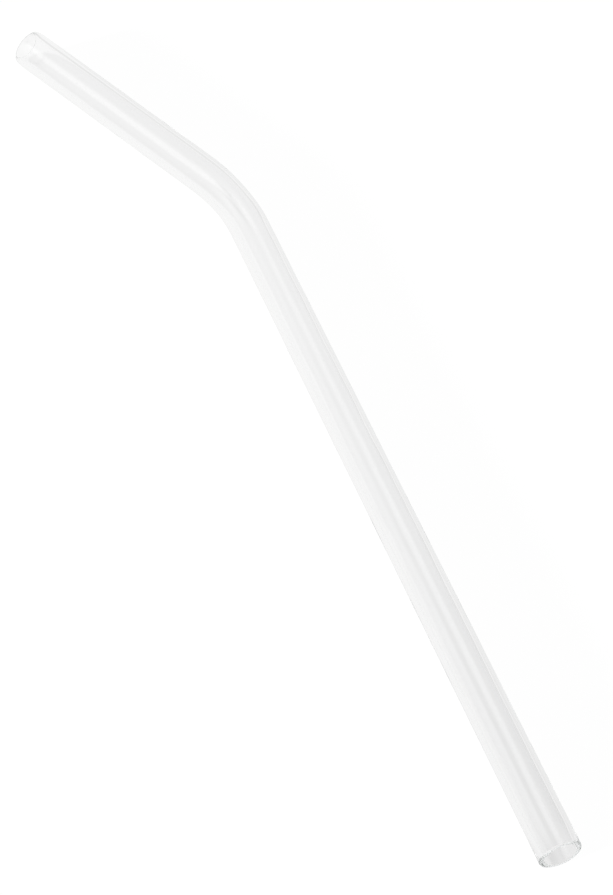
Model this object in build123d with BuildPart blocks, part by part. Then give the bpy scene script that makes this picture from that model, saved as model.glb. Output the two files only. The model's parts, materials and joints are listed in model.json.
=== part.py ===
"""A bent drinking straw of clear glass, lying on its side, in millimetres and degrees.

The straw is one length of glass tube. It has a long stem, one gentle bend and a short mouth
stretch, and both ends are melted round. It was bent by hand over a flame, so at the middle
of the bend the tube is a little narrower across, and its outer wall is a little thinner.
"""

from build123d import *
from math import pi, sin
import os

# The tube that the straw is made of
outer_diameter = 8.0
wall_thickness = 1.0

# The stem stands in the drink, and the mouth stretch leads from the bend to the lips
stem_length = 150.0
mouth_length = 48.0

# The bend, measured along the tube's centreline
bend_radius = 34.0
bend_angle = 30.0

# What the flame did to the tube at the middle of the bend: the width across that it lost,
# and how far the bore moved towards the outside of the bend
bend_flattening = 0.3
bend_bore_shift = 0.1

# The melted ends, whose rounding can't take more than this share of the wall on each side
rim_round = 0.4
largest_round_share = 0.45

# The cross-sections that shape the bend, from its first to its last
bend_section_count = 9

outer_radius = outer_diameter / 2
bore_radius = outer_radius - wall_thickness
rim_radius = min(rim_round, wall_thickness * largest_round_share)


def add_stretch(path, radius):
    """A round bar along one straight stretch of the centreline."""
    with BuildSketch(Plane(origin=path @ 0, z_dir=path % 0)) as end:
        Circle(radius)
    extrude(end.sketch, amount=path.length)


def add_bend(arc, radius, shift):
    """A bar round the bend, flattest at its middle, where it also lies outwards by the shift."""
    with BuildPart(mode=Mode.PRIVATE) as bend:
        for number in range(bend_section_count):
            share = number / (bend_section_count - 1)
            softening_share = sin(pi * share) ** 2
            section_plane = Plane(origin=arc @ share, x_dir=(0, 0, 1), z_dir=arc % share)
            with BuildSketch(section_plane):
                with Locations((0, shift * softening_share)):
                    Ellipse(radius, radius - bend_flattening / 2 * softening_share)
        loft()
    add(bend.part)


# The centreline starts at the middle of the stem's open end and runs to the mouth end
with BuildLine() as centreline:
    stem_line = Line((0, 0), (stem_length, 0))
    bend_arc = JernArc(start=stem_line @ 1, tangent=stem_line % 1, radius=bend_radius, arc_size=bend_angle)
    mouth_line = Line(bend_arc @ 1, bend_arc @ 1 + bend_arc % 1 * mouth_length)

# The bore, as a solid to take out of the tube
with BuildPart() as bore:
    add_stretch(stem_line, bore_radius)
    add_bend(bend_arc, bore_radius, bend_bore_shift)
    add_stretch(mouth_line, bore_radius)

with BuildPart() as tube:
    add_stretch(stem_line, outer_radius)
    add_bend(bend_arc, outer_radius, 0)
    add_stretch(mouth_line, outer_radius)
    add(bore.part, mode=Mode.SUBTRACT)
    open_ends = tube.faces().filter_by(GeomType.PLANE)
    fillet(open_ends.edges(), radius=rim_radius)

# The straw lies flat, with its origin under the middle of its box
tube_box = tube.part.bounding_box()
with BuildPart() as straw:
    with Locations((-tube_box.center().X, -tube_box.center().Y, -tube_box.min.Z)):
        add(tube.part)

os.makedirs("parts", exist_ok=True)
straw.part.label = "straw"
export_step(straw.part, "parts/straw.step")

tube_length = stem_line.length + bend_arc.length + mouth_line.length
print(f"length of tube along its centreline {tube_length:.2f}")
print(f"volume of glass {straw.part.volume:.1f}")
print(f"box {straw.part.bounding_box().size}")
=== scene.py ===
"""A bent drinking straw of clear glass, lying on a white table in a pale room."""

import json
import math

import bpy
from mathutils import Matrix, Vector


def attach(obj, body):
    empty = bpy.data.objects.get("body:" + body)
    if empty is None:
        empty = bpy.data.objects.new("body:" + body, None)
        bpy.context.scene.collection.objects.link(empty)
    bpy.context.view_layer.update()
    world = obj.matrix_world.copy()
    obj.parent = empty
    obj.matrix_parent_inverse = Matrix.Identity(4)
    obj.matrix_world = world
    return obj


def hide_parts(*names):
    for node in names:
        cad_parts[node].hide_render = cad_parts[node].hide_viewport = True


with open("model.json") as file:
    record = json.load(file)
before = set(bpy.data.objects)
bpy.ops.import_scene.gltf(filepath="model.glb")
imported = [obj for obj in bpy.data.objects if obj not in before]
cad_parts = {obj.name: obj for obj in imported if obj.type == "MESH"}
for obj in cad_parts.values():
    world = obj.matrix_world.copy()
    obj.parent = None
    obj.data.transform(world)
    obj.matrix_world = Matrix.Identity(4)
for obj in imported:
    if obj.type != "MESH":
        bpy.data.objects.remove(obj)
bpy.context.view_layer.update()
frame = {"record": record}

MM = 0.001
UP = Vector((0, 0, 1))
WHITE = (1, 1, 1, 1)

# How the flame shaped the tube, as in the solid
BEND_FLATTENING = 0.3 * MM
BEND_BORE_SHIFT = 0.1 * MM
RIM_ROUND = 0.4 * MM

# The mouth's lip, melted rounder than the solid's: its outside rounding across the wall and along the
# tube, the rounding of its bore edge, and how far the melting drew it in
LIP_ROUND_ACROSS = 0.65 * MM
LIP_ROUND_ALONG = 2 * MM
LIP_BORE_ROUND = 0.3 * MM
LIP_DRAWN_IN = 0.1 * MM

# How finely the surface is divided
SIDES = 160
BEND_RINGS = 72
ROUND_RINGS = 10
STRETCH_RING_GAP = 4 * MM

# The glass, its faint tint and how strongly a metre of it shows that
GLASS_IOR = 1.47
GLASS_TINT = (0.953, 0.957, 0.956, 1)
GLASS_DENSITY = 12

# Each pattern in the glass: its scale along the tube as a share of the one across, its scale across
# per metre, and its detail
DRAW_LINES = (0.02, 700, 1.5)
UNEVENNESS = (0.4, 230, 1)
HANDLING_MARKS = (0.35, 260, 3)

# How deep the lines and the unevenness are, and how rough the marks leave the glass: it is clear where
# their pattern is low and roughest where it is high
DRAW_LINE_DEPTH = 0.02 * MM
UNEVENNESS_DEPTH = 0.08 * MM
MARK_ROUGHNESS = 0.04
CLEAR_BELOW = 0.45
ROUGHEST_ABOVE = 0.75

# The melting smoothed each end: the patterns start this far from the rim, and are full by there
SMOOTH_END = 0.6 * MM
FULL_PATTERNS = 6 * MM

# The photograph's view: where the camera aims, how far off it is and, in degrees, how it is turned
AIM = Vector((-11.14, -3.84, 4)) * MM
AIM_DISTANCE = 503.1 * MM
VIEW_HEADING = -36.07
VIEW_ELEVATION = 47.95
VIEW_ROLL = 18.72
NEAREST_SEEN = 10 * MM
FARTHEST_SEEN = 20

# The lens by its focal length in the photograph's pixels. The sensor spans the longer side, the height
FOCAL_PIXELS = 2670
PHOTO_HEIGHT_PIXELS = 895
SENSOR = 36

# The table, in metres. A share of its brightness is its own glow, and the rest is light and shadow. Its
# glow to the camera is just over white, so that the grain of the lit rest stays out of sight
TABLE_SIZE = 6
TABLE_COLOUR = (0.9, 0.9, 0.9, 1)
GLOW_SHARE_TO_CAMERA = 0.91
GLOW_SHARE_IN_GLASS = 0.78
GLOW_TO_CAMERA = 1.03
GLOW_IN_GLASS = 0.93

# The table as seen in the glass has painted shade: its glow grows darker towards the stem's open end,
# standing in for the table's light being weaker there. Where that starts and ends along the stem, how much
# darker it gets and how late
ALONG_STEM = (1, 0, 0)
FALL_START = 50 * MM
FALL_END = -105 * MM
FALL_SHARE = 0.05
FALL_POWER = 1.4

# The painted soft shade under the stem's open end, a dark spot in the table's glow as seen in the glass:
# its place, its size and its depth
SHADE_PLACE = Vector((-103.4, -13.9, 0)) * MM
SHADE_SIZE = 3.8 * MM
SHADE_DEPTH = 0.11

# The room's light and how it rises along each axis: it is lighter low down than overhead. A pale wall
# all round keeps tightly to table height, and nothing is darker than the darkest light
ROOM_LIGHT = 0.87
ROOM_TILT = (0, 0.03, -0.5)
WALL_LIGHT = 0.7
WALL_TIGHTNESS = 12
DARKEST_LIGHT = 0.25

# Each soft light, or dark screen with a strength below nothing: its heading and height in degrees, its
# strength, and its spread in degrees
SOFT_LIGHTS = (
    (90, 35, 0.62, 24.5),
    (81, 51, 0.7, 10),
    (56, 48, -0.93, 6.5),
    (64, 17, 0.55, 12.5),
    (3, 51, 0.78, 16),
    (307, 35, 0.94, 13.5),
    (277, 43, -1.8, 20),
)

# The lamp: its heading and height in degrees, its distance and width in metres, and its watts
LAMP_PLACE = (100, 13)
LAMP_DISTANCE = 1.5
LAMP_SIZE = 0.26
LAMP_ENERGY = 40

# Some of the light in a rim comes out only after very many turns inside the glass
LIGHT_BOUNCES = 1000


def mount(name):
    """The record's mount of that name: its middle, the way out of it, its radius and half length."""
    entry = next(m for m in frame["record"]["mounts"] if m["name"] == name)
    middle, way_out = Vector(entry["pos_m"]), Vector(entry["axis"]).normalized()
    dims = entry["dims"]
    return middle, way_out, dims["r_mm"] * MM, dims["length_mm"] * MM / 2


class Centreline:
    """The tube's centreline: the stem, then the bend, then the mouth stretch."""

    def __init__(self):
        stem_middle, stem_out, self.outer_radius, stem_half = mount("stem_outside")
        mouth_middle, self.mouth_way, _, mouth_half = mount("mouth_outside")
        self.bore_radius = mount("stem_bore")[2]
        self.start = stem_middle + stem_out * stem_half
        self.stem_way = -stem_out
        self.stem_length = 2 * stem_half
        self.mouth_length = 2 * mouth_half
        bend_start = stem_middle - stem_out * stem_half
        self.bend_end = mouth_middle - self.mouth_way * mouth_half
        turn = self.stem_way.angle(self.mouth_way)
        self.bend_radius = (self.bend_end - bend_start).length / 2 / math.sin(turn / 2)
        self.bend_centre = bend_start + UP.cross(self.stem_way) * self.bend_radius
        self.bend_length = self.bend_radius * turn
        self.length = self.stem_length + self.bend_length + self.mouth_length

    def at(self, run):
        """The point at that run from the stem's end, the way on, and the share of the flame's softening."""
        into_bend = run - self.stem_length
        if into_bend <= 0:
            return self.start + self.stem_way * run, self.stem_way, 0
        if into_bend < self.bend_length:
            turned = into_bend / self.bend_radius
            spoke = Matrix.Rotation(turned, 3, UP) @ -UP.cross(self.stem_way)
            softening = math.sin(math.pi * into_bend / self.bend_length) ** 2
            return self.bend_centre + spoke * self.bend_radius, UP.cross(spoke), softening
        past_bend = into_bend - self.bend_length
        return self.bend_end + self.mouth_way * past_bend, self.mouth_way, 0


def ring(line, run, radius, bend_shift=0):
    """The points of one ring of the surface, each with its place in the straight tube before the bend."""
    centre, way, softening = line.at(run)
    outward = way.cross(UP)
    shift = bend_shift * softening
    across = radius - BEND_FLATTENING / 2 * softening
    points = []
    for side in range(SIDES):
        angle = 2 * math.pi * side / SIDES
        place = centre + outward * (shift + across * math.cos(angle)) + UP * radius * math.sin(angle)
        drawn = (radius * math.cos(angle), radius * math.sin(angle), run)
        points.append((place, drawn))
    return points


def wall_runs(line):
    """Where the rings of a wall lie between the two rounded rims."""
    stem_end = line.stem_length
    bend_end = stem_end + line.bend_length
    mouth_end = line.length - LIP_DRAWN_IN - LIP_ROUND_ALONG
    stem_count = math.ceil(line.stem_length / STRETCH_RING_GAP)
    mouth_count = math.ceil(line.mouth_length / STRETCH_RING_GAP)
    stem = [RIM_ROUND + (stem_end - RIM_ROUND) * k / stem_count for k in range(stem_count)]
    bend = [stem_end + line.bend_length * k / BEND_RINGS for k in range(BEND_RINGS)]
    mouth = [bend_end + (mouth_end - bend_end) * k / mouth_count for k in range(mouth_count + 1)]
    return stem + bend + mouth


def rounding(wall_radius, across, along):
    """Depth from the end face and radius of each ring of one edge's rounding, from the wall to the face."""
    steps = []
    for k in range(1, ROUND_RINGS + 1):
        angle = math.pi / 2 * k / ROUND_RINGS
        steps.append((along * (1 - math.sin(angle)), wall_radius + across * (1 - math.cos(angle))))
    return steps


def stem_rim_steps(line):
    """The rings of the stem's rim, from the bore to the outer wall."""
    bore_edge = rounding(line.bore_radius, RIM_ROUND, RIM_ROUND)
    outside_edge = rounding(line.outer_radius, -RIM_ROUND, RIM_ROUND)
    return bore_edge + outside_edge[::-1]


def mouth_rim_steps(line):
    """The rings of the mouth's lip, from the outer wall to the bore."""
    outside_edge = rounding(line.outer_radius, -LIP_ROUND_ACROSS, LIP_ROUND_ALONG)
    bore_edge = rounding(line.bore_radius, LIP_BORE_ROUND, LIP_BORE_ROUND)
    steps = outside_edge + bore_edge[::-1]
    return [(LIP_DRAWN_IN + depth, radius) for depth, radius in steps]


def straw_mesh(line):
    """The glass surface as one closed skin: outer wall, mouth rim, bore and stem rim."""
    runs = wall_runs(line)
    rings = [ring(line, run, line.outer_radius) for run in runs]
    rings += [ring(line, line.length - depth, radius) for depth, radius in mouth_rim_steps(line)]
    rings += [ring(line, run, line.bore_radius, BEND_BORE_SHIFT) for run in reversed(runs)]
    rings += [ring(line, depth, radius) for depth, radius in stem_rim_steps(line)]
    points = [point for one_ring in rings for point in one_ring]
    faces = []
    for k in range(len(rings)):
        here, there = k * SIDES, (k + 1) % len(rings) * SIDES
        for side in range(SIDES):
            ahead = (side + 1) % SIDES
            faces.append((here + side, there + side, there + ahead, here + ahead))
    mesh = bpy.data.meshes.new("glass_straw")
    mesh.from_pydata([place for place, _ in points], [], faces)
    mesh.shade_smooth()
    drawn = mesh.attributes.new("drawn", "FLOAT_VECTOR", "POINT")
    drawn.data.foreach_set("vector", [value for _, numbers in points for value in numbers])
    return mesh


class Graph:
    """A node tree, with a short call for each kind of step that this scene adds to one."""

    def __init__(self, tree):
        self.tree = tree

    def new(self, kind):
        return self.tree.nodes.new(kind)

    def feed(self, value, socket):
        """Sets a plain number on the socket, or links another node's output to it."""
        if isinstance(value, (int, float)):
            socket.default_value = value
        else:
            self.tree.links.new(value, socket)

    def maths(self, operation, *values):
        step = self.new("ShaderNodeMath")
        step.operation = operation
        for value, socket in zip(values, step.inputs):
            self.feed(value, socket)
        return step.outputs[0]

    def measure(self, operation, place, vector):
        """A number measured from a place and a fixed vector, such as the distance between the two."""
        step = self.new("ShaderNodeVectorMath")
        step.operation = operation
        self.feed(place, step.inputs[0])
        step.inputs[1].default_value = vector
        return step.outputs["Value"]

    def progress(self, value, start, end, easing="LINEAR"):
        """How far a value has come from start to end, from 0 to 1."""
        step = self.new("ShaderNodeMapRange")
        step.interpolation_type = easing
        self.feed(value, step.inputs["Value"])
        step.inputs["From Min"].default_value = start
        step.inputs["From Max"].default_value = end
        return step.outputs["Result"]

    def pattern(self, place, lengthwise, scale, detail):
        """Noise that is drawn out along the third axis of its place."""
        mapping = self.new("ShaderNodeMapping")
        mapping.inputs["Scale"].default_value = (1, 1, lengthwise)
        self.feed(place, mapping.inputs["Vector"])
        texture = self.new("ShaderNodeTexNoise")
        texture.inputs["Scale"].default_value = scale
        texture.inputs["Detail"].default_value = detail
        self.feed(mapping.outputs["Vector"], texture.inputs["Vector"])
        return texture.outputs["Fac"]


def new_material(name):
    """A material of that name, its graph, its main shader and its output."""
    material = bpy.data.materials.new(name)
    material.use_nodes = True
    nodes = material.node_tree.nodes
    return material, Graph(material.node_tree), nodes["Principled BSDF"], nodes["Material Output"]


def glass_material(line):
    """Clear colourless glass with the faint lengthwise waves of drawn tube, smooth at its melted ends."""
    material, graph, shader, output = new_material("clear_glass")
    shader.inputs["Base Color"].default_value = WHITE
    shader.inputs["IOR"].default_value = GLASS_IOR
    shader.inputs["Transmission Weight"].default_value = 1

    attribute = graph.new("ShaderNodeAttribute")
    attribute.attribute_name = "drawn"
    drawn = attribute.outputs["Vector"]

    # The share of the patterns that the melting left, by how far the nearer rim is
    from_stem_end = graph.measure("DOT_PRODUCT", drawn, (0, 0, 1))
    from_mouth_end = graph.maths("SUBTRACT", line.length, from_stem_end)
    from_rim = graph.maths("MINIMUM", from_stem_end, from_mouth_end)
    left_over = graph.progress(from_rim, SMOOTH_END, FULL_PATTERNS, "SMOOTHSTEP")

    # The fine lines left by the drawing of the tube, and its slow unevenness, as heights in metres
    lines = graph.maths("MULTIPLY", graph.pattern(drawn, *DRAW_LINES), DRAW_LINE_DEPTH)
    waves = graph.maths("MULTIPLY", graph.pattern(drawn, *UNEVENNESS), UNEVENNESS_DEPTH)
    bump = graph.new("ShaderNodeBump")
    bump.inputs["Distance"].default_value = 1
    graph.feed(left_over, bump.inputs["Strength"])
    graph.feed(graph.maths("ADD", lines, waves), bump.inputs["Height"])
    graph.feed(bump.outputs["Normal"], shader.inputs["Normal"])

    # A faint cloud of handling marks
    marks = graph.progress(graph.pattern(drawn, *HANDLING_MARKS), CLEAR_BELOW, ROUGHEST_ABOVE)
    roughness = graph.maths("MULTIPLY", marks, MARK_ROUGHNESS)
    graph.feed(graph.maths("MULTIPLY", roughness, left_over), shader.inputs["Roughness"])

    body = graph.new("ShaderNodeVolumeAbsorption")
    body.inputs["Color"].default_value = GLASS_TINT
    body.inputs["Density"].default_value = GLASS_DENSITY
    graph.feed(body.outputs["Volume"], output.inputs["Volume"])
    return material


def add_object(name, data):
    thing = bpy.data.objects.new(name, data)
    bpy.context.scene.collection.objects.link(thing)
    return thing


def add_straw():
    """The straw. Light that the table scatters passes it by, which keeps grain off the table round it."""
    line = Centreline()
    straw = add_object("glass_straw", straw_mesh(line))
    straw.data.materials.append(glass_material(line))
    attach(straw, "root")
    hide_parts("straw")
    straw.visible_diffuse = False


def direction(heading, height):
    """The way towards a heading and a height in degrees."""
    level = math.cos(math.radians(height))
    return Vector((level * math.cos(math.radians(heading)), level * math.sin(math.radians(heading)),
                   math.sin(math.radians(height))))


def add_camera():
    data = bpy.data.cameras.new("camera")
    data.sensor_width = SENSOR
    data.lens = FOCAL_PIXELS * SENSOR / PHOTO_HEIGHT_PIXELS
    data.clip_start = NEAREST_SEEN
    data.clip_end = FARTHEST_SEEN
    camera = add_object("camera", data)
    look = direction(VIEW_HEADING, -VIEW_ELEVATION)
    roll = Matrix.Rotation(math.radians(VIEW_ROLL), 3, "Z").to_quaternion()
    camera.rotation_mode = "QUATERNION"
    camera.rotation_quaternion = look.to_track_quat("-Z", "Y") @ roll
    camera.location = AIM - look * AIM_DISTANCE
    bpy.context.scene.camera = camera


def table_glow_in_glass(graph):
    """How brightly the table glows where the glass shows it, less painted shade: a darkening towards the
    stem's open end and a soft spot under that end.
    """
    place = graph.new("ShaderNodeTexCoord").outputs["Object"]
    # Painted shade: the glow dims along the stem towards its open end, as if the table's light were weaker
    # there
    along_stem = graph.measure("DOT_PRODUCT", place, ALONG_STEM)
    fall = graph.maths("POWER", graph.progress(along_stem, FALL_START, FALL_END), FALL_POWER)
    # Painted shade: a soft dark spot in the glow under the stem's open end, standing in for a contact
    # shadow
    away = graph.maths("DIVIDE", graph.measure("DISTANCE", place, SHADE_PLACE), SHADE_SIZE)
    shade = graph.maths("EXPONENT", graph.maths("MULTIPLY", graph.maths("POWER", away, 2), -1))
    painted_darkening = graph.maths("ADD", graph.maths("MULTIPLY", fall, FALL_SHARE),
                            graph.maths("MULTIPLY", shade, SHADE_DEPTH))
    return graph.maths("MULTIPLY", graph.maths("SUBTRACT", 1, painted_darkening), GLOW_IN_GLASS)


def table_material():
    """Matt white with a glow. The camera sees it white and the glass a little greyer with painted shade,
    both with shadow.
    """
    material, graph, shader, output = new_material("white_table")
    shader.inputs["Base Color"].default_value = TABLE_COLOUR
    shader.inputs["Roughness"].default_value = 1
    shader.inputs["Specular IOR Level"].default_value = 0

    path = graph.new("ShaderNodeLightPath")
    to_camera = path.outputs["Is Camera Ray"]
    in_glass = graph.maths("MAXIMUM", path.outputs["Is Glossy Ray"], path.outputs["Is Transmission Ray"])
    share = graph.maths("MAXIMUM", graph.maths("MULTIPLY", to_camera, GLOW_SHARE_TO_CAMERA),
                        graph.maths("MULTIPLY", in_glass, GLOW_SHARE_IN_GLASS))
    strength = graph.maths("MAXIMUM", graph.maths("MULTIPLY", to_camera, GLOW_TO_CAMERA),
                           table_glow_in_glass(graph))
    glow = graph.new("ShaderNodeEmission")
    glow.inputs["Color"].default_value = WHITE
    graph.feed(strength, glow.inputs["Strength"])
    mix = graph.new("ShaderNodeMixShader")
    graph.feed(share, mix.inputs["Fac"])
    graph.feed(shader.outputs[0], mix.inputs[1])
    graph.feed(glow.outputs[0], mix.inputs[2])
    graph.feed(mix.outputs[0], output.inputs["Surface"])
    return material


def add_floor():
    """The table top that the straw lies on."""
    half = TABLE_SIZE / 2
    corners = [(-half, -half, 0), (half, -half, 0), (half, half, 0), (-half, half, 0)]
    mesh = bpy.data.meshes.new("floor")
    mesh.from_pydata(corners, [], [(0, 1, 2, 3)])
    mesh.materials.append(table_material())
    floor = add_object("floor", mesh)


def add_lamp():
    """The soft light to the front left that gives the straw its shadow. The glass doesn't show it."""
    data = bpy.data.lights.new("front_light", "AREA")
    data.shape = "DISK"
    data.size = LAMP_SIZE
    data.energy = LAMP_ENERGY
    lamp = add_object("front_light", data)
    way = direction(*LAMP_PLACE)
    lamp.location = way * LAMP_DISTANCE
    lamp.rotation_mode = "QUATERNION"
    lamp.rotation_quaternion = way.to_track_quat("Z", "Y")
    lamp.visible_glossy = False
    lamp.visible_transmission = False


def room_light(graph):
    """The room's light by the way it comes from: soft lights, dark screens and a pale wall all round."""
    way = graph.new("ShaderNodeTexCoord").outputs["Generated"]
    light = graph.maths("ADD", ROOM_LIGHT, graph.measure("DOT_PRODUCT", way, ROOM_TILT))
    for heading, height, strength, spread in SOFT_LIGHTS:
        facing = graph.measure("DOT_PRODUCT", way, direction(heading, height))
        off_centre = graph.maths("SUBTRACT", facing, 1)
        glow = graph.maths("EXPONENT", graph.maths("DIVIDE", off_centre, math.radians(spread) ** 2))
        light = graph.maths("ADD", light, graph.maths("MULTIPLY", glow, strength))
    rise = graph.measure("DOT_PRODUCT", way, UP)
    off_table_height = graph.maths("MULTIPLY", graph.maths("MULTIPLY", rise, rise), -WALL_TIGHTNESS)
    wall = graph.maths("MULTIPLY", graph.maths("EXPONENT", off_table_height), WALL_LIGHT)
    return graph.maths("MAXIMUM", graph.maths("MAXIMUM", light, wall), DARKEST_LIGHT)


def add_world():
    """The pale room that lights the straw and shows in it. The camera sees plain white there."""
    world = bpy.data.worlds.new("studio")
    bpy.context.scene.world = world
    world.cycles.sampling_method = "NONE"
    world.use_nodes = True
    graph = Graph(world.node_tree)
    strength = graph.new("ShaderNodeMix")
    graph.feed(graph.new("ShaderNodeLightPath").outputs["Is Camera Ray"], strength.inputs["Factor"])
    graph.feed(room_light(graph), strength.inputs["A"])
    strength.inputs["B"].default_value = 1
    back = graph.tree.nodes["Background"]
    back.inputs["Color"].default_value = WHITE
    graph.feed(strength.outputs["Result"], back.inputs["Strength"])


bpy.context.scene.view_settings.view_transform = "Standard"
add_straw()
add_camera()
add_floor()
add_lamp()
add_world()
bpy.context.scene.cycles.max_bounces = LIGHT_BOUNCES
bpy.context.scene.cycles.transmission_bounces = LIGHT_BOUNCES
bpy.context.scene.cycles.glossy_bounces = LIGHT_BOUNCES
